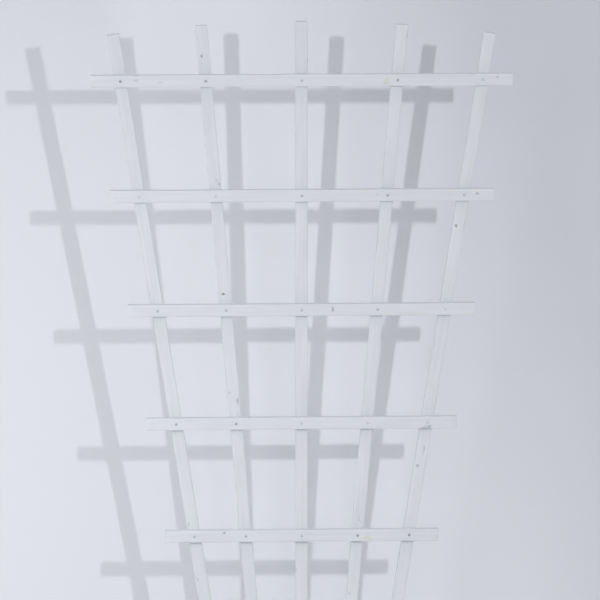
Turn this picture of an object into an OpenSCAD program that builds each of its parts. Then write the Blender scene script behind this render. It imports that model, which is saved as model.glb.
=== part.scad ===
// Fan-shaped espalier frame of painted battens.
// Five ribs are bolted side by side in the foot, bend apart above it and lean out in a fan.
// Level rails lie across the front of the ribs, with one nail at every crossing.
// +Z is up, the front faces -Y, and the origin is under the middle of the foot.

/* [Ribs] */
// Width of a rib, across the fan
rib_w = 19; // [14:0.5:26]
// Depth of a rib, front to back
rib_d = 12; // [10:0.5:20]
// Length of every rib, measured along its bend
rib_length = 1830; // [1600:10:2400]
// Room that the paint takes between two ribs in the foot
rib_gap = 0.2; // [0.1:0.05:0.6]
// Bevel on the long edges and the cut ends of every batten
arris = 1; // [0.4:0.1:2]

/* [Fan] */
// Height at which the ribs begin to part
bend_start = 100; // [95:1:160]
// Lean of the two inner ribs, in degrees
inner_lean = 4.8; // [3.5:0.1:6]
// Lean of the two outer ribs, in degrees
outer_lean = 8.8; // [7:0.1:11]
// Radius of the bend in the inner ribs
inner_bend_r = 2500; // [1800:50:3600]
// Radius of the bend in the outer ribs
outer_bend_r = 1050; // [800:10:1500]

/* [Rails] */
// Number of rails
rail_count = 7; // [4:1:7]
// Height from one rail to the next
rail_pitch = 180; // [140:5:200]
// Distance from the tip of the centre rib down to the middle of the top rail
top_rail_drop = 90; // [40:5:140]
// Height of a rail
rail_h = 19; // [14:0.5:28]
// Thickness of a rail, front to back
rail_t = 12; // [8:0.5:19]
// Length of a rail past the centre line of the outer rib
rail_overhang = 46; // [20:1:80]

/* [Nails] */
// Diameter of a nail's shank
nail_d = 2.2; // [1.6:0.1:3]
// Diameter of a nail's head
nail_head_d = 4.6; // [4:0.1:7]
// Thickness of a nail's head
nail_head_t = 1; // [0.6:0.1:1.5]
// Height that a driven head stands out of the rail
nail_proud = 0.3; // [0:0.1:0.5]
// Wood left between a nail's point and the back of its rib
nail_cover = 3; // [1.5:0.5:4]
// Length of a nail's point
nail_point = 3; // [2:0.5:4]
// Room around a nail in the wood
nail_fit = 0.05; // [0.02:0.01:0.1]

/* [Foot bolts] */
// Diameter of a bolt's shank
bolt_d = 5; // [4:0.5:6]
// Diameter of the domed head
bolt_head_d = 11.5; // [10:0.5:13]
// Height of the domed head
bolt_head_h = 2.8; // [2:0.1:4]
// Length of the square neck that locks in the wood
bolt_neck = 3; // [2:0.1:5]
// Height of the lower bolt
bolt_height = 30; // [22:1:36]
// Height from the lower bolt to the upper one
bolt_spacing = 45; // [30:1:50]
// Length of thread past the nut
bolt_tail = 3; // [1:0.5:8]
// Room around a bolt in the wood and in its washer
bolt_fit = 0.25; // [0.15:0.05:0.5]
// Room between a bolt and the bore of its nut
thread_fit = 0.05; // [0.02:0.01:0.1]
// Diameter of a washer
washer_d = 11; // [10:0.5:15]
// Thickness of a washer
washer_t = 1.2; // [0.8:0.1:2]
// Width of a nut across its flats
nut_af = 8; // [7.5:0.5:10]
// Thickness of a nut
nut_h = 4; // [3:0.5:6]

/* [Hidden] */
$fn = 64;
bend_rings = 16;
cut_over = 1;
paint_colour = "whitesmoke";
nail_colour = "gainsboro";
zinc_colour = "silver";

RIB_NAMES = ["rib_far_left", "rib_left", "rib_centre", "rib_right", "rib_far_right"];
BOLT_ROWS = ["lower", "upper"];
rib_steps = [-2 : 2];
rails = [1 : rail_count];

// A rib's step counts outwards from the centre rib, and is negative on the left.
leans = [0, inner_lean, outer_lean];
bend_radii = [0, inner_bend_r, outer_bend_r];
rib_front = -rib_d / 2;
rail_front = rib_front - rail_t;
nail_tip = rib_d / 2 - nail_cover;
nail_top = rail_front - nail_proud;
foot_half = abs(foot_x(2)) + rib_w / 2;

function lean(step) = leans[abs(step)];
function bend_r(step) = bend_radii[abs(step)];
function foot_x(step) = step * (rib_w + rib_gap);

// Sideways and upward reach of the bend, from where the rib leaves the foot
function bend_out(step) = bend_r(step) * (1 - cos(lean(step)));
function bend_up(step) = bend_r(step) * sin(lean(step));
function bend_length(step) = bend_r(step) * lean(step) * PI / 180;

// Centre of a rib at a height above its bend
function rib_x(step, z) =
    foot_x(step)
    + sign(step) * (bend_out(step) + (z - bend_start - bend_up(step)) * tan(lean(step)));

function rail_z(n) = rib_length - top_rail_drop - (n - 1) * rail_pitch;
function rail_length(n) = 2 * (rib_x(2, rail_z(n)) + rail_overhang);
function bolt_z(row) = bolt_height + (row == "upper" ? bolt_spacing : 0);

// Corners of a bevelled rectangle around the origin, anticlockwise
function bevelled(w, h) = [
    for (corner = [[1, 1], [-1, 1], [-1, -1], [1, -1]], leg = [0, 1])
        let (turn = corner.x * corner.y > 0 ? leg : 1 - leg)
            [corner.x * (w / 2 - arris * turn), corner.y * (h / 2 - arris * (1 - turn))]
];

// Straight batten from z = 0 to z = length, bevelled along its edges and round both cut ends
module batten(w, d, length) {
    middle = [0, 0, length / 2];
    intersection() {
        linear_extrude(length) polygon(bevelled(w, d));
        translate(middle) rotate([90, 0, 0]) linear_extrude(d, center = true) polygon(bevelled(w, length));
        translate(middle) rotate([90, 0, 90]) linear_extrude(w, center = true) polygon(bevelled(d, length));
    }
}

// Stations along a bent rib that starts at the origin and leans towards +X.
// Each is [x, z, lean, inset], where the inset draws the section in at a cut end.
function bend_station(step, turn) = [
    bend_r(step) * (1 - cos(turn)), bend_start + bend_r(step) * sin(turn), turn, 0
];
function upper_station(step, along, inset) = [
    bend_out(step) + along * sin(lean(step)),
    bend_start + bend_up(step) + along * cos(lean(step)),
    lean(step),
    inset
];
function rib_stations(step) =
    let (upper = rib_length - bend_start - bend_length(step))
        concat(
            [[0, 0, 0, arris], [0, arris, 0, 0]],
            [for (i = [0 : bend_rings]) bend_station(step, lean(step) * i / bend_rings)],
            [upper_station(step, upper - arris, 0), upper_station(step, upper, arris)]
        );

// Section of a rib, set square to it at one station
function section_at(station) = [
    for (p = bevelled(rib_w - 2 * station[3], rib_d - 2 * station[3]))
        [station[0] + p.x * cos(station[2]), p.y, station[1] - p.x * sin(station[2])]
];

// Bent rib, swept through its stations
module bent_rib(step) {
    stations = rib_stations(step);
    sides = len(bevelled(rib_w, rib_d));
    last = (len(stations) - 1) * sides;
    polyhedron(
        points = [for (station = stations) each section_at(station)],
        faces = concat(
            [[for (i = [0 : sides - 1]) i]],
            [
                for (ring = [0 : sides : last - sides], i = [0 : sides - 1])
                    let (next = (i + 1) % sides)
                        [ring + i, ring + sides + i, ring + sides + next, ring + next]
            ],
            [[for (i = [sides - 1 : -1 : 0]) last + i]]
        )
    );
}

// Turned nail along +Y, with its head at nail_top, and grown all round by the room it needs
module nail(room) {
    shank_r = nail_d / 2 + room;
    head_r = nail_head_d / 2 + room;
    head_under = nail_top + nail_head_t + room;
    tip = nail_tip + room;
    rotate([-90, 0, 0]) rotate_extrude()
        polygon([
            [0, nail_top - room],
            [head_r, nail_top - room],
            [head_r, head_under],
            [shank_r, head_under],
            [shank_r, tip - nail_point],
            [0, tip]
        ]);
}

// Nail at the crossing of one rib and one rail, or the hole for it
module crossing_nail(step, n, room) {
    translate([rib_x(step, rail_z(n)), 0, rail_z(n)]) nail(room);
}

// Holes for the two foot bolts, with a square seat for each neck on the left
module bolt_holes() {
    hole_r = bolt_d / 2 + bolt_fit;
    for (row = BOLT_ROWS)
        translate([-foot_half, 0, bolt_z(row)]) rotate([0, 90, 0]) {
            translate([0, 0, -cut_over]) cylinder(r = hole_r, h = 2 * (foot_half + cut_over));
            translate([-hole_r, -hole_r, -cut_over])
                cube([2 * hole_r, 2 * hole_r, bolt_neck + bolt_fit + cut_over]);
        }
}

module rib(step) {
    color(paint_colour) difference() {
        translate([foot_x(step), 0, 0])
            if (step == 0) batten(rib_w, rib_d, rib_length);
            else mirror([step < 0 ? 1 : 0, 0, 0]) bent_rib(step);
        bolt_holes();
        for (n = rails) crossing_nail(step, n, nail_fit);
    }
}

module rail(n) {
    length = rail_length(n);
    color(paint_colour) difference() {
        translate([-length / 2, rib_front - rail_t / 2, rail_z(n)]) rotate([0, 90, 0])
            batten(rail_h, rail_t, length);
        for (step = rib_steps) crossing_nail(step, n, nail_fit);
    }
}

module rail_nails(n) {
    color(nail_colour) for (step = rib_steps) crossing_nail(step, n, 0);
}

// Domed bolt through all five ribs, with its head on the left
module foot_bolt(row) {
    shank_r = bolt_d / 2;
    shank = 2 * foot_half + washer_t + nut_h + bolt_tail;
    dome_r = (pow(bolt_head_d / 2, 2) + pow(bolt_head_h, 2)) / (2 * bolt_head_h);
    color(zinc_colour) translate([-foot_half, 0, bolt_z(row)]) rotate([0, 90, 0]) {
        rotate_extrude() intersection() {
            translate([0, dome_r - bolt_head_h]) circle(dome_r, $fn = 128);
            translate([0, -bolt_head_h]) square([bolt_head_d / 2, bolt_head_h]);
        }
        translate([-shank_r, -shank_r, 0]) cube([bolt_d, bolt_d, bolt_neck]);
        cylinder(r = shank_r, h = shank - shank_r / 2);
        translate([0, 0, shank - shank_r / 2]) cylinder(r1 = shank_r, r2 = shank_r / 2, h = shank_r / 2);
    }
}

module washer(row) {
    color(zinc_colour) translate([foot_half, 0, bolt_z(row)]) rotate([0, 90, 0])
        difference() {
            cylinder(d = washer_d, h = washer_t);
            translate([0, 0, -cut_over]) cylinder(r = bolt_d / 2 + bolt_fit, h = washer_t + 2 * cut_over);
        }
}

// Six-sided nut with its corners turned back on both faces
module nut(row) {
    corner_r = nut_af / 2 / cos(30);
    turned = (corner_r - nut_af / 2) / 2;
    color(zinc_colour) translate([foot_half + washer_t, 0, bolt_z(row)]) rotate([0, 90, 0])
        difference() {
            intersection() {
                cylinder(r = corner_r, h = nut_h, $fn = 6);
                rotate_extrude()
                    polygon([
                        [0, 0], [nut_af / 2, 0], [corner_r, turned],
                        [corner_r, nut_h - turned], [nut_af / 2, nut_h], [0, nut_h]
                    ]);
            }
            translate([0, 0, -cut_over]) cylinder(r = bolt_d / 2 + thread_fit, h = nut_h + 2 * cut_over);
        }
}

for (step = rib_steps)
    rib(step);
for (n = rails)
    rail(n);
for (n = rails)
    rail_nails(n);
for (row = BOLT_ROWS)
    foot_bolt(row);
for (row = BOLT_ROWS)
    washer(row);
for (row = BOLT_ROWS)
    nut(row);
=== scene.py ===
"""Dresses the espalier frame: painted battens, driven nails and zinc bolts, on a pale stage."""
import math
from collections import namedtuple

import bmesh
import bpy
import numpy as np
from mathutils import Matrix, Vector


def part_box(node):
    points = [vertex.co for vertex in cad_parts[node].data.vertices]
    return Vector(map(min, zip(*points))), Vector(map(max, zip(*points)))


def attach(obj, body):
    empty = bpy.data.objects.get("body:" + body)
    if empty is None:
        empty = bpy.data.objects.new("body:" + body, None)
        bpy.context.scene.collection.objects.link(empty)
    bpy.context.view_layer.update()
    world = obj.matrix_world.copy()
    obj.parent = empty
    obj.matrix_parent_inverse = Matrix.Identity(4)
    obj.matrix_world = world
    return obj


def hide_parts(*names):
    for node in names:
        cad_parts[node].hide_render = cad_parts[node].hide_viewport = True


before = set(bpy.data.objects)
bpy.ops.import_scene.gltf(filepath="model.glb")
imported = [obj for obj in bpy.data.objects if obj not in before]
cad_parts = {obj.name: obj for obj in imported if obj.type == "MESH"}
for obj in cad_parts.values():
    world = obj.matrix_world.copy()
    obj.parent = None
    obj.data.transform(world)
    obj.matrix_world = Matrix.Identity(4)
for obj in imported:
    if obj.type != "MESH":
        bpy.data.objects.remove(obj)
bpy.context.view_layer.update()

MM = 0.001
FULL_TURN = 2 * math.pi
QUARTER_TURN = math.pi / 2

# What the solids are called
BODY = "root"
RIBS = ["rib_far_left", "rib_left", "rib_centre", "rib_right", "rib_far_right"]
RAIL_COUNT = sum(1 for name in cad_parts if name.startswith("rail_") and name.endswith("_nails"))
RAILS = [f"rail_{n}" for n in range(1, RAIL_COUNT + 1)]
BOLT_ROWS = ["lower", "upper"]

# Camera, which looks slightly down on the frame from far off
IMAGE_PIXELS = 600
METRES_PER_PIXEL = 1.5534 * MM
CAMERA_DISTANCE = 8.0
CAMERA_ELEVATION = math.radians(10.6)
CAMERA_AZIMUTH = math.radians(-2.1)
CAMERA_REACH = 100
AIM_X = -3.0 * MM
AIM_HEIGHT = 1.3962
SENSOR = 36.0

# Stage
MATT_ROUGHNESS = 0.9
FLOOR_HALF = 40.0
FLOOR_COLOUR = (0.78, 0.785, 0.795)
BACKGROUND = (0.80, 0.81, 0.83)
BACKDROP_BEHIND = 0.30
BACKDROP_LEAN = 0.085
BACKDROP_HALF = 2.2
BACKDROP_HEIGHT = 3.2
BACKDROP_COLOUR = (0.775, 0.79, 0.84)
# Colour of the painted shade that the backdrop darkens to
BACKDROP_PAINTED_SHADE = (0.62, 0.63, 0.69)
# Painted shade on the backdrop, for less light at its upper right and at its left: the ways along which
# it darkens, where each starts and ends, and how far it goes
Fade = namedtuple("Fade", "way start end most")
BACKDROP_SHADE_FADES = (
    Fade((1.0, 0.0, 0.3), 0.47, 0.87, 1.0),
    Fade((-1.0, 0.0, -0.18), -0.08, -0.01, 0.36),
)

# Light: a small key from the upper right, two soft lamps on the left and a soft sky
Lamp = namedtuple("Lamp", "name place towards shape size power spread")
LAMPS = (
    Lamp("key", (1.03, -3.37, 2.48), (3.66, 0, 1.40), "DISK", 0.08, 57.0, math.radians(180)),
    Lamp("side", (-1.20, -2.00, 1.80), (-0.90, 0.3, 0.90), "SQUARE", 1.3, 5.2, math.radians(76)),
    Lamp("fill", (-4.0, -1.0, 1.70), (0, 0, 1.40), "SQUARE", 1.5, 27.0, math.radians(180)),
)
SKY_LOW = 0.05
SKY_OVERHEAD = 0.92
SKY_COLOUR = (0.985, 0.995, 1.0)

# Centre lines of the battens
BEND_START = 100 * MM
LEAST_SLOPE = 1e-4
SPINE_SAMPLES = 4000

# Section of the battens. Nearness to a corner is 1 at the middle of its arc, and falls to 0 on the faces.
CORNERS = 4
CORNER_STEPS = 3
EDGE_RADIUS = 0.8 * MM
COLUMN = 1.5 * MM
ARC_END = 0.5
NEAR_ARC_MIDDLE = 0.8

# Rings along the battens, and their cut ends
RING_SPACING = 9 * MM
LEAST_STEP = 0.35 * MM
PIT_RINGS = 11
PIT_REACH = 0.75
END_RADIUS = 0.6 * MM
END_FADE = 6 * MM
CAP_SCALES = (0.92, 0.80, 0.67, 0.54, 0.41, 0.28, 0.14)
END_RELIEF = 0.06 * MM
GROWTH_RING = 5 * MM
PITH_REACH = 14 * MM
GRAIN_SHIFT = 3.0

# Wear of the edges: its depth, its mean share, the swing of its waves, and how much of the arc may go
EDGE_WEAR = 0.45 * MM
EDGE_RUB = 0.35
EDGE_SWING = 0.25
EDGE_WAVES = (0.31, 0.13, 0.047)
MOST_WORN = 0.85

# Waves of the planed and painted surface: height, length along the batten, length around it
SURFACE_WAVES = (
    (0.10 * MM, 0.230, 0.060),
    (0.07 * MM, 0.090, 0.031),
    (0.03 * MM, 0.140, 0.0047),
    (0.02 * MM, 0.061, 0.0029),
)

# Waves of a pit's rim: height, number around it, and how fast they turn along the batten
RIM_WAVES = ((0.18, 3, 900), (0.1, 5, 300))
RIM_REACH = 1.2
RIM_WIDTH = 0.5

# Random marks: how many a metre, whether on an edge, the least and most length, width and depth in
# millimetres, and the least and most paint gone and knot shown
MarkKind = namedtuple("MarkKind", "per_metre on_edge length width depth bare knot")
DING = MarkKind(7, True, (3, 9), (2, 4), (0.3, 0.9), (0, 0.5), None)
SPECK = MarkKind(6, False, (2, 8), (1.5, 4), (0.1, 0.4), (0.2, 0.9), None)
KNOT = MarkKind(1.6, False, (9, 16), (7, 12), (0.05, 0.15), None, (0.4, 1))
END_CLEAR = 10 * MM
# Heights between which the front is marked only where MARKS says
SHOWN_LOW = 1.07
SHOWN_HIGH = 1.72

# Marks on the front of the battens. A rib's mark is placed by its height, a rail's by its X. The offset
# is towards +X on a rib and upwards on a rail. Offset, length, width and depth are in millimetres.
Mark = namedtuple("Mark", "place offset length width depth bare")
MARKS = {
    "rib_left": [
        Mark(1.4042, -2.0, 4.0, 5.5, 0.5, 1.0),
        Mark(1.5765, 6.4, 4.0, 3.2, 0.4, 0.5),
        Mark(1.5830, 3.0, 5.0, 3.0, 0.2, 0.25),
        Mark(1.234, 5.7, 10.0, 2.6, 0.5, 0.8),
        Mark(1.248, -6.0, 4.0, 3.0, 0.2, 0.35),
        Mark(1.213, 4.3, 5.0, 2.5, 0.2, 0.3),
    ],
    "rib_far_right": [
        Mark(1.509, -4.0, 5.0, 4.0, 0.5, 0.8),
        Mark(1.155, 2.5, 14.0, 2.6, 0.4, 0.4),
        Mark(1.128, -3.5, 5.0, 5.0, 0.5, 0.55),
    ],
    "rail_2": [
        Mark(0.2718, 2.2, 4.5, 4.0, 0.4, 0.6),
        Mark(0.1165, 2.0, 2.4, 2.4, 0.2, 0.35),
    ],
    "rail_3": [Mark(0.0480, 1.0, 3.2, 8.0, 0.5, 0.65)],
    "rail_4": [
        Mark(0.1988, -6.6, 7.0, 5.0, 0.6, 0.55),
        Mark(0.1910, -8.2, 9.0, 3.0, 0.6, 0.45),
    ],
}

# Nails
NAIL_SIDES = 24
NAIL_HEAD_R = 2.3 * MM
NAIL_HEAD_T = 1.0 * MM
NAIL_CROWN_R = 0.55 * NAIL_HEAD_R
NAIL_CROWN_FALL = 0.048 * MM
NAIL_RIM_FALL = 0.144 * MM
NAIL_UNDERSIDE = 1.3 * MM
NAIL_ROUNDING = 0.25 * MM
NAIL_SHANK_R = 1.1 * MM
NAIL_POINT = 3.0 * MM
NAIL_TILT = math.radians(3)
DIMPLE_R = 4.6 * MM
DIMPLE_DEPTH = 0.25 * MM
# Share of each nail's head that has lost its paint, from left to right, and its limits on the other rails
NAIL_WEAR = {
    "rail_2": (0.20, 0.25, 0.60, 0.65, 0.45),
    "rail_3": (0.55, 0.55, 0.40, 0.55, 0.18),
    "rail_4": (0.70, 0.70, 0.32, 0.25, 0.22),
}
OTHER_NAIL_WEAR = (0.25, 0.95)
# The wear on the middle of a head, and how far it has fallen at the rim
NAIL_WEAR_MIDDLE = 1.25
NAIL_WEAR_FALL = 0.45

# Foot bolts
BOLT_SIDES = 36
BOLT_R = 2.5 * MM
BOLT_FIT = 0.25 * MM
DOME_SHARES = (0, 0.12, 0.24, 0.36, 0.48, 0.60, 0.72, 0.84, 0.93, 0.98, 1)
SHANK_STEPS = 20
NECK = 3.0 * MM
NECK_END = 3.3 * MM
NECK_SIDES = 4
NECK_CORNER_R = 3.45 * MM
THREAD_PITCH = 0.8 * MM
THREAD_DEPTH = 0.45 * MM
THREAD_FIT = 0.05 * MM
THREAD_SHOWN = 9 * MM
THREAD_STEPS = 10

# Washers and nuts. A washer's edges are rounded on its outer face, and its lower edge is only broken.
WASHER_SIDES = 72
WASHER_EDGE = 0.35 * MM
WASHER_ARC = 0.3 * WASHER_EDGE
WASHER_LOWER_EDGE = 0.4 * WASHER_EDGE
NUT_SIDES = 96
NUT_FLATS = 6
NUT_CHAMFER = math.radians(30)
NUT_CHAMFER_SHARES = (0, 0.12, 0.25, 0.4, 0.6, 0.8, 1.0)
NUT_THREAD_STEPS = 8

# Colours
PAINT = (0.690, 0.711, 0.752)
PAINT_SHADE = (0.630, 0.651, 0.692)
KNOT_STAIN = (0.60, 0.59, 0.555)
EDGE_TONE = (0.66, 0.675, 0.705)
BARE_WOOD = (0.240, 0.240, 0.246)
END_GRAIN = (0.56, 0.565, 0.57)
STEEL = (0.30, 0.305, 0.315)
ZINC = (0.60, 0.615, 0.64)
ZINC_DULL = (0.44, 0.45, 0.465)

# Noises in the finishes: how often they change in a metre each way, and their detail
Noise = namedtuple("Noise", "scale detail")
GRAIN = Noise((9, 310, 310), 5.0)
BRUSH = Noise((26, 1500, 1500), 2.0)
CLOUD = Noise((11, 40, 40), 3.0)
SPECKLE = Noise((900, 900, 900), 2.0)
STEEL_SPOTS = Noise((1100, 1100, 1100), 3.0)
STEEL_SCRATCHES = Noise((2600, 500, 2600), 2.0)
ZINC_CLOUD = Noise((260, 260, 260), 4.0)
ZINC_GRIT = Noise((2400, 2400, 2400), 2.0)

# Ranges in the finishes: low and high of what comes in, then low and high of what goes out
GRAIN_BANDS = (0.38, 0.66, 0.0, 1.0)
CLOUD_PATCHES = (0.35, 0.65, 0.0, 1.0)
EDGE_RUBBED = (0.42, 0.70, 0.0, 0.55)
END_SAWN = (0.3, 0.7, 0.2, 0.8)
CHIP_BARE = (0.2, 0.6, 0.7, 1.0)
PAINT_ROUGHNESS = (0.3, 0.7, 0.44, 0.60)
STEEL_SPOTTED = (0.3, 0.7, -0.35, 0.35)
STEEL_BARE = (0.15, 0.85, 0.05, 0.9)
STEEL_ROUGHNESS = (0.3, 0.7, 0.42, 0.62)
ZINC_CLOUDED = (0.35, 0.68, 0.0, 1.0)
ZINC_ROUGHNESS = (0.3, 0.7, 0.30, 0.52)
KNOT_SHOWS = 0.75
BARE_ROUGHER = 0.3
STEEL_METALLIC = 0.35
ZINC_METALLIC = 0.9

# Reliefs in the finishes: height and strength
Relief = namedtuple("Relief", "height strength")
BRUSH_RELIEF = Relief(0.05 * MM, 0.6)
GRAIN_RELIEF = Relief(0.14 * MM, 0.7)
SCRATCH_RELIEF = Relief(0.05 * MM, 0.5)
GRIT_RELIEF = Relief(0.03 * MM, 0.5)


# Helpers


def rng_for(name):
    """Random numbers that depend on the piece's name alone."""
    return np.random.default_rng(sum((i + 1) * ord(c) for i, c in enumerate(name)))


def points_between(first, second, share):
    return first + (second - first) * share


def add_object(name, data):
    made = bpy.data.objects.new(name, data)
    bpy.context.scene.collection.objects.link(made)
    return made


def mesh_from(name, vertices, faces):
    """A smooth mesh whose faces all look outwards."""
    mesh = bpy.data.meshes.new(name)
    mesh.from_pydata([tuple(v) for v in vertices], [], faces)
    shaped = bmesh.new()
    shaped.from_mesh(mesh)
    bmesh.ops.recalc_face_normals(shaped, faces=shaped.faces)
    shaped.to_mesh(mesh)
    shaped.free()
    mesh.shade_smooth()
    return mesh


def store(mesh, name, values):
    """Keeps one number or one vector per vertex, for the materials to read."""
    values = np.asarray(values, np.float32)
    kind, field = ("FLOAT_VECTOR", "vector") if values.ndim == 2 else ("FLOAT", "value")
    mesh.attributes.new(name, kind, "POINT").data.foreach_set(field, values.ravel())


def dress(piece, node, material):
    """Puts a finished piece in the place of a solid."""
    piece.data.materials.append(material)
    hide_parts(node)
    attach(piece, BODY)


# Finishes


class Shader:
    """A material's node tree around one Principled shader."""

    def __init__(self, name):
        self.material = bpy.data.materials.new(name)
        self.material.use_nodes = True
        self.tree = self.material.node_tree
        self.principled = self.tree.nodes["Principled BSDF"]

    def put(self, socket, value):
        if isinstance(value, bpy.types.NodeSocket):
            self.tree.links.new(value, socket)
        elif socket.type == "RGBA" and len(value) == 3:
            socket.default_value = (*value, 1)
        else:
            socket.default_value = value

    def set(self, **inputs):
        for name, value in inputs.items():
            self.put(self.principled.inputs[name.replace("_", " ")], value)

    def attribute(self, name, output="Fac"):
        made = self.tree.nodes.new("ShaderNodeAttribute")
        made.attribute_name = name
        return made.outputs[output]

    def operate(self, kind, operation, first, second, output):
        made = self.tree.nodes.new(kind)
        made.operation = operation
        self.put(made.inputs[0], first)
        self.put(made.inputs[1], second)
        return made.outputs[output]

    def math(self, operation, first, second):
        return self.operate("ShaderNodeMath", operation, first, second, "Value")

    def dot(self, vector, way):
        return self.operate("ShaderNodeVectorMath", "DOT_PRODUCT", vector, way, "Value")

    def noise(self, vector, noise):
        scaled = self.operate("ShaderNodeVectorMath", "MULTIPLY", vector, noise.scale, "Vector")
        made = self.tree.nodes.new("ShaderNodeTexNoise")
        self.put(made.inputs["Vector"], scaled)
        self.put(made.inputs["Scale"], 1.0)
        self.put(made.inputs["Detail"], noise.detail)
        return made.outputs["Fac"]

    def range(self, value, low, high, to_low, to_high):
        made = self.tree.nodes.new("ShaderNodeMapRange")
        self.put(made.inputs["Value"], value)
        self.put(made.inputs["From Min"], low)
        self.put(made.inputs["From Max"], high)
        self.put(made.inputs["To Min"], to_low)
        self.put(made.inputs["To Max"], to_high)
        return made.outputs["Result"]

    def mix(self, share, first, second):
        made = self.tree.nodes.new("ShaderNodeMix")
        made.data_type = "RGBA"
        self.put(made.inputs["Factor"], share)
        self.put(made.inputs[6], first)
        self.put(made.inputs[7], second)
        return made.outputs[2]

    def bump(self, pattern, relief, normal=None):
        made = self.tree.nodes.new("ShaderNodeBump")
        self.put(made.inputs["Height"], pattern)
        self.put(made.inputs["Distance"], relief.height)
        self.put(made.inputs["Strength"], relief.strength)
        if normal is not None:
            self.put(made.inputs["Normal"], normal)
        return made.outputs["Normal"]


def painted_wood():
    """Satin white paint over planed softwood, thin on the edges and gone in the chips."""
    paint = Shader("white_paint")
    plank = paint.attribute("plank", "Vector")
    grain = paint.noise(plank, GRAIN)
    brush = paint.noise(plank, BRUSH)
    cloud = paint.noise(plank, CLOUD)
    speckle = paint.noise(plank, SPECKLE)

    bands = paint.range(grain, *GRAIN_BANDS)
    patchy = paint.range(cloud, *CLOUD_PATCHES)
    uneven = paint.math("MULTIPLY", paint.math("ADD", bands, patchy), 0.5)
    knotty = paint.math("MULTIPLY", paint.attribute("knot"), KNOT_SHOWS)
    rubbed = paint.math("MULTIPLY", paint.attribute("edge"), paint.range(cloud, *EDGE_RUBBED))
    sawn = paint.math("MULTIPLY", paint.attribute("end_grain"), paint.range(grain, *END_SAWN))
    bare = paint.math("MULTIPLY", paint.attribute("bare"), paint.range(speckle, *CHIP_BARE))

    colour = paint.mix(uneven, PAINT, PAINT_SHADE)
    for share, tone in ((knotty, KNOT_STAIN), (rubbed, EDGE_TONE), (sawn, END_GRAIN), (bare, BARE_WOOD)):
        colour = paint.mix(share, colour, tone)
    rougher = paint.math("MULTIPLY", bare, BARE_ROUGHER)
    paint.set(Base_Color=colour)
    paint.set(Roughness=paint.math("ADD", paint.range(grain, *PAINT_ROUGHNESS), rougher))
    paint.set(Normal=paint.bump(grain, GRAIN_RELIEF, paint.bump(brush, BRUSH_RELIEF)))
    return paint.material


def worn_steel():
    """Dull nail steel under the remains of the paint."""
    steel = Shader("nail_steel")
    place = steel.attribute("plank", "Vector")
    spots = steel.noise(place, STEEL_SPOTS)
    scratches = steel.noise(place, STEEL_SCRATCHES)
    worn = steel.math("ADD", steel.attribute("bare"), steel.range(spots, *STEEL_SPOTTED))
    bare = steel.range(worn, *STEEL_BARE)
    steel.set(Base_Color=steel.mix(bare, PAINT_SHADE, STEEL))
    steel.set(Metallic=steel.math("MULTIPLY", bare, STEEL_METALLIC))
    steel.set(Roughness=steel.range(scratches, *STEEL_ROUGHNESS))
    steel.set(Normal=steel.bump(scratches, SCRATCH_RELIEF))
    return steel.material


def zinc_plate():
    """Zinc plated steel with a cloudy, slightly dulled skin."""
    zinc = Shader("zinc")
    place = zinc.attribute("plank", "Vector")
    cloud = zinc.noise(place, ZINC_CLOUD)
    zinc.set(Base_Color=zinc.mix(zinc.range(cloud, *ZINC_CLOUDED), ZINC, ZINC_DULL))
    zinc.set(Metallic=ZINC_METALLIC)
    zinc.set(Roughness=zinc.range(cloud, *ZINC_ROUGHNESS))
    zinc.set(Normal=zinc.bump(zinc.noise(place, ZINC_GRIT), GRIT_RELIEF))
    return zinc.material


def matt_sheet(name, colour, shade=None, fades=()):
    """Matt material for a stage sheet, which lets everything through from behind.
    It may darken to a painted shade along some fades, standing in for light that falls off across the sheet."""
    matt = Shader(name)
    matt.set(Base_Color=colour, Roughness=MATT_ROUGHNESS, Specular_IOR_Level=0.0)
    nodes, links = matt.tree.nodes, matt.tree.links
    geometry = nodes.new("ShaderNodeNewGeometry")
    # Painted shade: each fade darkens the colour where less light falls on the sheet
    share = 0.0
    for fade in fades:
        along = matt.dot(geometry.outputs["Position"], fade.way)
        share = matt.math("MAXIMUM", share, matt.range(along, fade.start, fade.end, 0.0, fade.most))
    if fades:
        matt.set(Base_Color=matt.mix(share, colour, shade))
    choose = nodes.new("ShaderNodeMixShader")
    clear = nodes.new("ShaderNodeBsdfTransparent")
    links.new(geometry.outputs["Backfacing"], choose.inputs["Fac"])
    links.new(matt.principled.outputs["BSDF"], choose.inputs[1])
    links.new(clear.outputs["BSDF"], choose.inputs[2])
    links.new(choose.outputs["Shader"], nodes["Material Output"].inputs["Surface"])
    return matt.material


# Centre lines of the battens


def nail_centres(rail):
    """Front centre of each nail in a rail, from left to right, read off the solids."""
    points = np.array([v.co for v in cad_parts[f"{rail}_nails"].data.vertices])
    points = points[points[:, 0].argsort()]
    breaks = np.flatnonzero(np.diff(points[:, 0]) > 2 * NAIL_HEAD_R) + 1
    centres = []
    for nail in np.split(points, breaks):
        low, high = nail.min(axis=0), nail.max(axis=0)
        centres.append(Vector(((low[0] + high[0]) / 2, low[1], (low[2] + high[2]) / 2)))
    return centres


CROSSINGS = {rail: nail_centres(rail) for rail in RAILS}
RIB_LOW, RIB_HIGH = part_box("rib_centre")
RIB_W = RIB_HIGH.x - RIB_LOW.x
RIB_D = RIB_HIGH.y - RIB_LOW.y
RIB_LENGTH = RIB_HIGH.z - RIB_LOW.z
RAIL_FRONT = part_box("rail_1")[0].y


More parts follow.
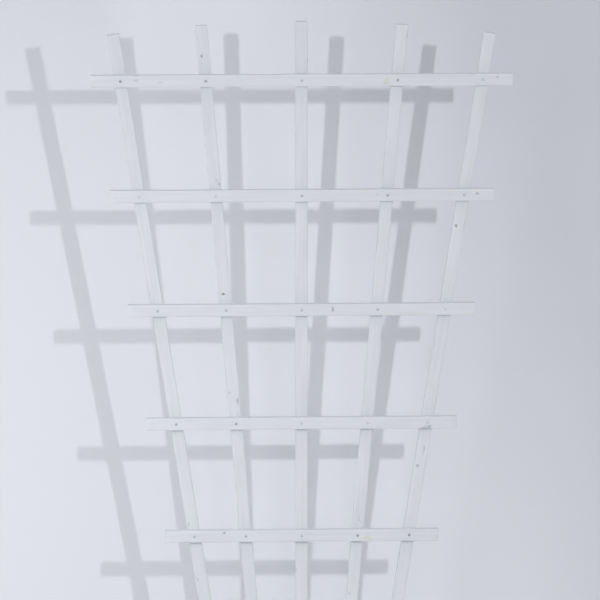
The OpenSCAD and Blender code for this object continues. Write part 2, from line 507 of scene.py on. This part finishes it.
class Spine:
    """Centre line of a batten in the plane of the fan: straight, then bent by an arc, then straight."""

    def __init__(self, start, heading, length, straight=0.0, radius=0.0, turn=0.0):
        self.start, self.heading, self.length = start, heading, length
        self.straight, self.radius, self.turn = straight, radius, turn
        self.bend = radius * abs(turn)

    def at(self, along):
        """X, Z and heading at each length along the batten, with the heading turned from +Z to +X."""
        before = np.minimum(along, self.straight)
        bent = np.clip(along - self.straight, 0, self.bend)
        after = np.maximum(along - self.straight - self.bend, 0)
        angle = math.copysign(1, self.turn) * bent / self.radius if self.radius else 0 * bent
        side = math.copysign(self.radius, self.turn) * (1 - np.cos(angle)) + after * np.sin(angle)
        ahead = before + self.radius * np.abs(np.sin(angle)) + after * np.cos(angle)
        up, across = math.cos(self.heading), math.sin(self.heading)
        x = self.start.x + side * up + ahead * across
        z = self.start.z - side * across + ahead * up
        return x, z, angle + self.heading

    def along_at(self, place, upright):
        """Length along the batten at a height, or at an X on a level one."""
        lengths = np.linspace(0, self.length, SPINE_SAMPLES)
        x, z, _ = self.at(lengths)
        return float(np.interp(place, z if upright else x, lengths))


def rib_spine(index):
    """Centre line of a rib, fitted to its nails and to its place in the foot."""
    low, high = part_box(RIBS[index])
    top, bottom = CROSSINGS[RAILS[0]][index], CROSSINGS[RAILS[-1]][index]
    slope = (top.x - bottom.x) / (top.z - bottom.z)
    middle = (low.y + high.y) / 2
    if abs(slope) < LEAST_SLOPE:
        return Spine(Vector((top.x, middle, low.z)), 0.0, RIB_LENGTH)
    foot_x = low.x + RIB_W / 2 if slope > 0 else high.x - RIB_W / 2
    turn = math.atan(slope)
    corner = top.z + (foot_x - top.x) / slope
    radius = (corner - BEND_START) / math.tan(abs(turn) / 2)
    return Spine(Vector((foot_x, middle, low.z)), 0.0, RIB_LENGTH, BEND_START, radius, turn)


def rail_spine(rail):
    """Centre line of a rail, from its left end to its right one."""
    low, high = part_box(rail)
    start = Vector((low.x, (low.y + high.y) / 2, (low.z + high.z) / 2))
    return Spine(start, QUARTER_TURN, high.x - low.x)


# Surface of the battens

Section = namedtuple("Section", "points normals edge corner around")


def section(width, depth):
    """Rounded outline of a batten: places, outward directions, nearness to a corner, and which corner."""
    half_w, half_d = width / 2 - EDGE_RADIUS, depth / 2 - EDGE_RADIUS
    corners = ((half_w, -half_d), (half_w, half_d), (-half_w, half_d), (-half_w, -half_d))
    points, normals, edge, corner = [], [], [], []

    def add(x, y, normal, nearness, number):
        points.append((x + EDGE_RADIUS * normal[0], y + EDGE_RADIUS * normal[1]))
        normals.append(normal)
        edge.append(nearness)
        corner.append(number)

    for i, (x, y) in enumerate(corners):
        for step in range(CORNER_STEPS + 1):
            angle = QUARTER_TURN * (i - 1 + step / CORNER_STEPS)
            normal = (math.cos(angle), math.sin(angle))
            add(x, y, normal, 1 - ARC_END * abs(2 * step / CORNER_STEPS - 1), i)
        following = (i + 1) % CORNERS
        ahead = corners[following]
        run = math.dist((x, y), ahead)
        columns = max(2, round(run / COLUMN))
        for step in range(1, columns):
            share = step / columns
            place = [points_between(start, end, share) for start, end in zip((x, y), ahead)]
            nearness = max(0.0, 1 - min(share, 1 - share) * run / (2 * EDGE_RADIUS)) * ARC_END
            add(*place, normal, nearness, i if share < 0.5 else following)
    points = np.array(points)
    gaps = np.linalg.norm(np.diff(points, axis=0, append=points[:1]), axis=1)
    around = np.concatenate([[0], np.cumsum(gaps)[:-1]])
    return Section(points, np.array(normals), np.array(edge), np.array(corner), around)


# A hollow in a batten's surface: where it is, how long, wide and deep, and how bare and knotty it is
Pit = namedtuple("Pit", "along across out length width depth bare knot")


def random_pits(spine, outline, random):
    """Dings, specks of lost paint and knots, away from the part of the front that MARKS covers."""

    def drawn(limits):
        return random.uniform(*limits) if limits else 0

    front = outline.points[:, 1].max()
    edges = np.flatnonzero(outline.edge > NEAR_ARC_MIDDLE)
    faces = np.flatnonzero(outline.edge == 0)
    pits = []
    for kind in (DING, SPECK, KNOT):
        for _ in range(round(kind.per_metre * spine.length)):
            along = random.uniform(END_CLEAR, spine.length - END_CLEAR)
            across, out = outline.points[random.choice(edges if kind.on_edge else faces)]
            _, height, _ = spine.at(np.array([along]))
            if out >= front - EDGE_RADIUS and SHOWN_LOW < height[0] < SHOWN_HIGH:
                continue
            length, width, depth = [drawn(limits) * MM for limits in (kind.length, kind.width, kind.depth)]
            pits.append(Pit(along, across, out, length, width, depth, drawn(kind.bare), drawn(kind.knot)))
    return pits


def marked_pits(name, spine, depth, upright):
    """The pits on the front of a batten that MARKS gives."""
    side = 1 if upright else -1
    return [
        Pit(spine.along_at(m.place, upright), side * m.offset * MM, depth / 2,
            m.length * MM, m.width * MM, m.depth * MM, m.bare, 0)
        for m in MARKS.get(name, [])
    ]


def nail_dimples(rail, spine, thick):
    """The pits around the nails of a rail."""
    return [
        Pit(nail.x - spine.start.x, 0, thick / 2, 2 * DIMPLE_R, 2 * DIMPLE_R, DIMPLE_DEPTH, 0, 0)
        for nail in CROSSINGS[rail]
    ]


def stations(length, pits):
    """Lengths along a batten that get a ring: even steps, with more of them across every pit."""
    lengths = [np.linspace(END_RADIUS, length - END_RADIUS, round(length / RING_SPACING))]
    for pit in pits:
        lengths.append(pit.along + np.linspace(-PIT_REACH, PIT_REACH, PIT_RINGS) * pit.length)
    rough = np.sort(np.concatenate(lengths))
    rough = rough[(rough >= END_RADIUS) & (rough <= length - END_RADIUS)]
    kept = [rough[0]]
    for value in rough[1:]:
        if value - kept[-1] > LEAST_STEP:
            kept.append(value)
    return np.array(kept)


def pit_share(pit, along, outline):
    """From 0 outside a pit to 1 inside it, with an uneven rim."""
    ahead = (along[:, None] - pit.along) / (pit.length / 2)
    across = (outline.points[None, :, 0] - pit.across) / (pit.width / 2)
    out = (outline.points[None, :, 1] - pit.out) / (pit.width / 2)
    angle = np.arctan2(across + out, ahead)
    rim = 1
    for height, count, turning in RIM_WAVES:
        rim = rim + height * np.sin(count * angle + turning * pit.along)
    reach = np.sqrt(ahead**2 + across**2 + out**2) * rim
    return np.clip((RIM_REACH - reach) / RIM_WIDTH, 0, 1)


def surface(along, outline, pits, random):
    """Lift of every point of a batten's surface, and how bare and how knotty it is there."""
    lift = np.zeros((len(along), len(outline.points)))
    for height, length, around in SURFACE_WAVES:
        phase, skew = random.uniform(0, FULL_TURN, 2)
        wave = along[:, None] / length + np.sin(skew) * outline.around[None, :] / around
        lift += height * np.sin(FULL_TURN * wave + phase)
    for corner in range(CORNERS):
        rub = np.zeros(len(along))
        for length in EDGE_WAVES:
            rub += EDGE_SWING * np.sin(FULL_TURN * along / length + random.uniform(0, FULL_TURN))
        worn = np.clip(EDGE_RUB + rub, 0, 1)
        lift -= EDGE_WEAR * np.outer(worn, outline.edge * (outline.corner == corner))
    bare, knot = np.zeros_like(lift), np.zeros_like(lift)
    for pit in pits:
        share = pit_share(pit, along, outline)
        lift -= pit.depth * share
        bare = np.maximum(bare, pit.bare * share)
        knot = np.maximum(knot, pit.knot * share)
    return lift, bare, knot


def ended_surface(spine, outline, pits, random):
    """Lengths along a batten that have a ring, and its surface there, drawn in towards the cut ends."""
    turns = np.linspace(0, QUARTER_TURN, CORNER_STEPS + 1)[:-1]
    eased = END_RADIUS * (1 - np.cos(turns))
    along = np.concatenate([eased, stations(spine.length, pits), spine.length - eased[::-1]])
    lift, bare, knot = surface(along, outline, pits, random)
    lift *= np.clip(np.minimum(along, spine.length - along) / END_FADE, 0, 1)[:, None]
    inset = END_RADIUS * (1 - np.sin(turns))[:, None]
    lift[: len(turns)] -= inset
    lift[-len(turns):] -= inset[::-1]
    on_arc = outline.edge >= ARC_END
    lift[:, on_arc] = np.maximum(lift[:, on_arc], -MOST_WORN * EDGE_RADIUS)
    return along, lift, bare, knot


# Battens


def ring_faces(first, second, columns):
    """Faces between two rings of vertices, given by the number of each ring's first vertex."""
    steps = [(i, (i + 1) % columns) for i in range(columns)]
    return [(first + i, first + j, second + j, second + i) for i, j in steps]


def fan_faces(first, hub, columns):
    """Faces between a ring of vertices and one vertex in its middle."""
    return [(first + i, first + (i + 1) % columns, hub) for i in range(columns)]


def cut_end(ring, inwards, pith):
    """Smaller and smaller rings that close a cut end, with the relief of the growth rings on it."""
    for scale in CAP_SCALES:
        flat = ring * (1, scale, scale)
        growth = np.hypot(flat[:, 1] - pith[0], flat[:, 2] - pith[1]) / GROWTH_RING
        flat[:, 0] += inwards * END_RELIEF * (0.5 + 0.5 * np.sin(FULL_TURN * growth))
        yield flat


def closed_rings(body, random):
    """Points and faces of a batten's rings, with smaller rings and a middle point on each cut end."""
    rings, columns, _ = body.shape
    faces = []
    for ring in range(rings - 1):
        faces += ring_faces(ring * columns, (ring + 1) * columns, columns)
    layers, innermost = list(body), []
    for last, inwards in ((0, 1), (rings - 1, -1)):
        previous = last
        for flat in cut_end(body[last], inwards, random.uniform(-PITH_REACH, PITH_REACH, 2)):
            faces += ring_faces(previous * columns, len(layers) * columns, columns)
            previous = len(layers)
            layers.append(flat)
        innermost.append(previous)
    middles = [layers[ring].mean(axis=0, keepdims=True) for ring in innermost]
    for number, ring in enumerate(innermost):
        faces += fan_faces(ring * columns, len(layers) * columns + number, columns)
    return np.concatenate(layers + middles), faces


def batten(name, spine, width, depth, pits):
    """One batten, with worn edges, waves and pits in its surface and growth rings on its cut ends."""
    random = rng_for(name)
    outline = section(width, depth)
    pits = pits + random_pits(spine, outline, random)
    along, lift, bare, knot = ended_surface(spine, outline, pits, random)

    # A point is given by its length along the batten, its way across and its way to the front
    places = outline.points + lift[:, :, None] * outline.normals
    body = np.concatenate([np.broadcast_to(along[:, None, None], (*lift.shape, 1)), places], axis=2)
    points, faces = closed_rings(body, random)
    lengths, across, front = points.T
    x, z, heading = spine.at(lengths)
    x = x + across * np.cos(heading)
    z = z - across * np.sin(heading)
    mesh = mesh_from(f"{name}_painted", np.column_stack([x, spine.start.y - front, z]), faces)

    on_ends = len(points) - lift.size
    store(mesh, "plank", points + random.uniform(-GRAIN_SHIFT, GRAIN_SHIFT, 3))
    store(mesh, "bare", np.pad(bare.ravel(), (0, on_ends)))
    store(mesh, "knot", np.pad(knot.ravel(), (0, on_ends)))
    store(mesh, "edge", np.pad(np.tile(outline.edge, len(along)), (0, on_ends)))
    store(mesh, "end_grain", np.pad(np.zeros(lift.size), (0, on_ends), constant_values=1))
    return add_object(f"{name}_painted", mesh)


# Turned pieces


def lathe(profile, sides, reach=None):
    """Vertices and faces of a turned shape about +X. The profile is a list of (X, radius), from pole to
    pole or closed. Reach may change a radius by its angle and its X."""
    angles = np.linspace(0, FULL_TURN, sides, endpoint=False)
    vertices, rings = [], []
    for x, radius in profile:
        if radius == 0:
            rings.append([len(vertices)])
            vertices.append((x, 0.0, 0.0))
            continue
        radii = np.full(sides, radius) if reach is None else reach(angles, x, radius)
        rings.append(list(range(len(vertices), len(vertices) + sides)))
        vertices.extend(zip(np.full(sides, x), radii * np.cos(angles), radii * np.sin(angles)))
    pairs = list(zip(rings, rings[1:]))
    if len(rings[0]) > 1:
        pairs.append((rings[-1], rings[0]))
    faces = []
    for pair in pairs:
        first, second = (ring if len(ring) > 1 else ring * sides for ring in pair)
        for i in range(sides):
            j = (i + 1) % sides
            faces.append(tuple(dict.fromkeys((first[i], first[j], second[j], second[i]))))
    return np.array(vertices), faces


def rounded(points, radius, steps=3, room=2.2):
    """A profile with its inner corners rounded by short arcs. A side is at least the room times as long
    as the reach of an arc on it."""
    made = [points[0]]
    places = [Vector(point) for point in points]
    for before, corner, after in zip(places, places[1:], places[2:]):
        reach = min(radius, (before - corner).length / room, (after - corner).length / room)
        first = corner + (before - corner).normalized() * reach
        last = corner + (after - corner).normalized() * reach
        for step in range(steps + 1):
            t = step / steps
            made.append(tuple(first * (1 - t) ** 2 + corner * 2 * t * (1 - t) + last * t**2))
    made.append(points[-1])
    return made


def driven_nails(rail):
    """The five nails of a rail: flat heads, a little tilted, with the paint worn off to differing degrees."""
    random = rng_for(f"{rail}_nails")
    low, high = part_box(f"{rail}_nails")
    length = high.y - low.y
    profile = rounded(
        [
            (0, 0),
            (NAIL_CROWN_FALL, NAIL_CROWN_R),
            (NAIL_RIM_FALL, NAIL_HEAD_R),
            (NAIL_HEAD_T, NAIL_HEAD_R),
            (NAIL_UNDERSIDE, NAIL_SHANK_R),
            (length - NAIL_POINT, NAIL_SHANK_R),
            (length, 0),
        ],
        NAIL_ROUNDING,
    )
    shape, shape_faces = lathe(profile, NAIL_SIDES)
    rim = np.hypot(shape[:, 1], shape[:, 2]) / NAIL_HEAD_R
    fading = np.clip(NAIL_WEAR_MIDDLE - NAIL_WEAR_FALL * rim, 0, 1)
    other_wear = random.uniform(*OTHER_NAIL_WEAR, len(CROSSINGS[rail]))
    vertices, faces, bare = [], [], []
    for centre, worn in zip(CROSSINGS[rail], NAIL_WEAR.get(rail, other_wear)):
        turned = Matrix.Rotation(QUARTER_TURN, 4, "Z")
        for axis in "XZ":
            turned = Matrix.Rotation(random.uniform(-NAIL_TILT, NAIL_TILT), 4, axis) @ turned
        first = len(vertices)
        vertices += [centre + turned @ Vector(v) for v in shape]
        faces += [tuple(first + i for i in face) for face in shape_faces]
        bare += list(worn * fading)
    mesh = mesh_from(f"{rail}_driven_nails", vertices, faces)
    store(mesh, "plank", [tuple(v) for v in vertices])
    store(mesh, "bare", bare)
    return add_object(f"{rail}_driven_nails", mesh)


def turned_piece(name, vertices, faces, centre):
    placed = vertices + np.array(centre)
    mesh = mesh_from(name, placed, faces)
    store(mesh, "plank", placed)
    return add_object(name, mesh)


def threaded(angles, x, radius):
    """Radius of a screw thread, which falls and rises once in each pitch as it winds round."""
    turn = (x / THREAD_PITCH - angles / FULL_TURN) % 1.0
    return radius - THREAD_DEPTH * np.abs(2 * turn - 1)


def flat_sided(angles, sides, lead, flat_r, corner_r):
    """Radius of a polygon with that many flats, whose corners are cut back to a radius."""
    step = FULL_TURN / sides
    from_flat = np.abs((angles + lead) % step - step / 2)
    return np.minimum(flat_r / np.cos(from_flat), corner_r)


def foot_bolt(row):
    """Domed bolt with a square neck, and a thread where it comes out of its nut."""
    low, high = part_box(f"{row}_foot_bolt")
    face = -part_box(f"{row}_washer")[0].x
    head_r = (high.y - low.y) / 2
    head_h = face - low.x
    thread_from = high.x - THREAD_SHOWN
    tip = high.x - BOLT_R / 2
    dome_r = (head_r**2 + head_h**2) / (2 * head_h)
    turns = [math.asin(head_r / dome_r) * share for share in DOME_SHARES]
    dome = [(low.x + dome_r * (1 - math.cos(turn)), dome_r * math.sin(turn)) for turn in turns]
    neck = [(face, NECK_CORNER_R), (face + NECK, NECK_CORNER_R)]
    smooth = (face + NECK_END, thread_from - THREAD_PITCH)
    shank = [(points_between(*smooth, i / SHANK_STEPS), BOLT_R) for i in range(SHANK_STEPS + 1)]
    steps = round((tip - thread_from) / THREAD_PITCH * THREAD_STEPS)
    thread = [(points_between(thread_from, tip, i / steps), BOLT_R) for i in range(steps + 1)]
    end = [(high.x, BOLT_R / 2), (high.x, 0)]

    def reach(angles, x, radius):
        if radius == NECK_CORNER_R:
            return flat_sided(angles, NECK_SIDES, FULL_TURN / NECK_SIDES / 2, BOLT_R, NECK_CORNER_R)
        if thread_from <= x <= tip:
            return threaded(angles, x, radius)
        return np.full(len(angles), radius)

    vertices, faces = lathe(dome + neck + shank + thread + end, BOLT_SIDES, reach)
    return turned_piece(f"{row}_foot_bolt_threaded", vertices, faces, (0, 0, (low.z + high.z) / 2))


def washer(row):
    """Pressed washer, with rounded edges on its outer face."""
    low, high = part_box(f"{row}_washer")
    outer, hole = (high.y - low.y) / 2, BOLT_R + BOLT_FIT
    thick = high.x - low.x
    profile = [
        (0, outer - WASHER_LOWER_EDGE),
        (WASHER_LOWER_EDGE, outer),
        (thick - WASHER_EDGE, outer),
        (thick - WASHER_ARC, outer - WASHER_ARC),
        (thick, outer - WASHER_EDGE),
        (thick, hole + WASHER_EDGE),
        (thick - WASHER_ARC, hole + WASHER_ARC),
        (thick - WASHER_EDGE, hole),
        (0, hole),
    ]
    vertices, faces = lathe(profile, WASHER_SIDES)
    return turned_piece(f"{row}_washer_pressed", vertices, faces, (low.x, 0, (low.z + high.z) / 2))


def nut(row):
    """Six-sided nut: the corners are turned back on both faces, and the bore is threaded."""
    low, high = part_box(f"{row}_nut")
    thick = high.x - low.x
    corner_r = max(high.y - low.y, high.z - low.z) / 2
    flat_r = corner_r * math.cos(FULL_TURN / NUT_FLATS / 2)
    rise = corner_r - flat_r
    lead = FULL_TURN / NUT_FLATS / 2 if high.z - low.z > high.y - low.y else 0.0
    bore = BOLT_R + THREAD_FIT
    slope = math.tan(NUT_CHAMFER)
    outer = [(share * rise, flat_r + rise * share / slope) for share in NUT_CHAMFER_SHARES]
    mirrored = [(thick - x, radius) for x, radius in reversed(outer)]
    steps = round(thick / THREAD_PITCH * NUT_THREAD_STEPS)
    inner = [(thick * (1 - i / steps), bore) for i in range(steps + 1)]

    def reach(angles, x, radius):
        if radius <= bore:
            return threaded(angles, x, radius + THREAD_DEPTH / 2)
        return flat_sided(angles, NUT_FLATS, lead, flat_r, radius)

    vertices, faces = lathe(outer + mirrored + inner, NUT_SIDES, reach)
    return turned_piece(f"{row}_nut_threaded", vertices, faces, (low.x, 0, (low.z + high.z) / 2))


# Camera, stage and light


def make_camera():
    camera = bpy.data.cameras.new("camera")
    camera.sensor_width = SENSOR
    camera.lens = SENSOR * CAMERA_DISTANCE / (IMAGE_PIXELS * METRES_PER_PIXEL)
    camera.clip_end = CAMERA_REACH
    level, up = math.cos(CAMERA_ELEVATION), math.sin(CAMERA_ELEVATION)
    back = Vector((math.sin(CAMERA_AZIMUTH) * level, -math.cos(CAMERA_AZIMUTH) * level, up))
    made = add_object("camera", camera)
    made.location = Vector((AIM_X, RAIL_FRONT, AIM_HEIGHT)) + back * CAMERA_DISTANCE
    made.rotation_euler = (-back).to_track_quat("-Z", "Y").to_euler()
    bpy.context.scene.camera = made


def sheet(name, corners, material):
    """Flat stage piece with the given corners."""
    mesh = bpy.data.meshes.new(name)
    mesh.from_pydata(corners, [], [tuple(range(len(corners)))])
    mesh.materials.append(material)
    made = add_object(name, mesh)


def make_stage():
    far, side, height = FLOOR_HALF, BACKDROP_HALF, BACKDROP_HEIGHT
    floor_matt = matt_sheet("floor_matt", FLOOR_COLOUR)
    sheet("floor", [(-far, -far, 0), (far, -far, 0), (far, far, 0), (-far, far, 0)], floor_matt)
    foot, top = (BACKDROP_BEHIND + BACKDROP_LEAN * (z - AIM_HEIGHT) for z in (0, height))
    # The backdrop darkens to a painted shade at its upper right and its left, for light that falls off there
    backdrop_matt = matt_sheet("backdrop_matt", BACKDROP_COLOUR, BACKDROP_PAINTED_SHADE, BACKDROP_SHADE_FADES)
    corners = [(-side, foot, 0), (side, foot, 0), (side, top, height), (-side, top, height)]
    sheet("backdrop", corners, backdrop_matt)


def make_lamps():
    for lamp in LAMPS:
        light = bpy.data.lights.new(lamp.name, "AREA")
        light.shape, light.size = lamp.shape, lamp.size
        light.energy, light.spread = lamp.power, lamp.spread
        made = add_object(lamp.name, light)
        made.location = lamp.place
        way = Vector(lamp.towards) - Vector(lamp.place)
        made.rotation_euler = way.to_track_quat("-Z", "Y").to_euler()
        made.visible_camera = False


def make_sky():
    """A soft sky that is brightest overhead. Where it is seen or mirrored, a plain background shows."""
    world = bpy.data.worlds.new("studio")
    bpy.context.scene.world = world
    world.use_nodes = True
    nodes, links = world.node_tree.nodes, world.node_tree.links
    sky, seen = nodes["Background"], nodes.new("ShaderNodeBackground")
    sky.inputs["Color"].default_value = (*SKY_COLOUR, 1)
    seen.inputs["Color"].default_value = (*BACKGROUND, 1)

    height, fade = nodes.new("ShaderNodeSeparateXYZ"), nodes.new("ShaderNodeMapRange")
    fade.inputs["To Min"].default_value = SKY_LOW
    fade.inputs["To Max"].default_value = SKY_OVERHEAD
    links.new(nodes.new("ShaderNodeTexCoord").outputs["Generated"], height.inputs["Vector"])
    links.new(height.outputs["Z"], fade.inputs["Value"])
    links.new(fade.outputs["Result"], sky.inputs["Strength"])

    ray = nodes.new("ShaderNodeLightPath")
    shown = ray.outputs["Is Camera Ray"]
    for other in ("Is Glossy Ray", "Is Transmission Ray"):
        most = nodes.new("ShaderNodeMath")
        most.operation = "MAXIMUM"
        links.new(shown, most.inputs[0])
        links.new(ray.outputs[other], most.inputs[1])
        shown = most.outputs["Value"]
    choose = nodes.new("ShaderNodeMixShader")
    links.new(shown, choose.inputs["Fac"])
    links.new(sky.outputs["Background"], choose.inputs[1])
    links.new(seen.outputs["Background"], choose.inputs[2])
    links.new(choose.outputs["Shader"], nodes["World Output"].inputs["Surface"])


# The frame


def make_frame():
    paint, steel, zinc = painted_wood(), worn_steel(), zinc_plate()
    for index, name in enumerate(RIBS):
        spine = rib_spine(index)
        rib = batten(name, spine, RIB_W, RIB_D, marked_pits(name, spine, RIB_D, True))
        dress(rib, name, paint)
    for name in RAILS:
        low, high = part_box(name)
        height, thick = high.z - low.z, high.y - low.y
        spine = rail_spine(name)
        pits = marked_pits(name, spine, thick, False) + nail_dimples(name, spine, thick)
        dress(batten(name, spine, height, thick, pits), name, paint)
        dress(driven_nails(name), f"{name}_nails", steel)
    for row in BOLT_ROWS:
        dress(foot_bolt(row), f"{row}_foot_bolt", zinc)
        dress(washer(row), f"{row}_washer", zinc)
        dress(nut(row), f"{row}_nut", zinc)


make_camera()
make_frame()
make_stage()
make_lamps()
make_sky()
bpy.context.scene.view_settings.view_transform = "Standard"
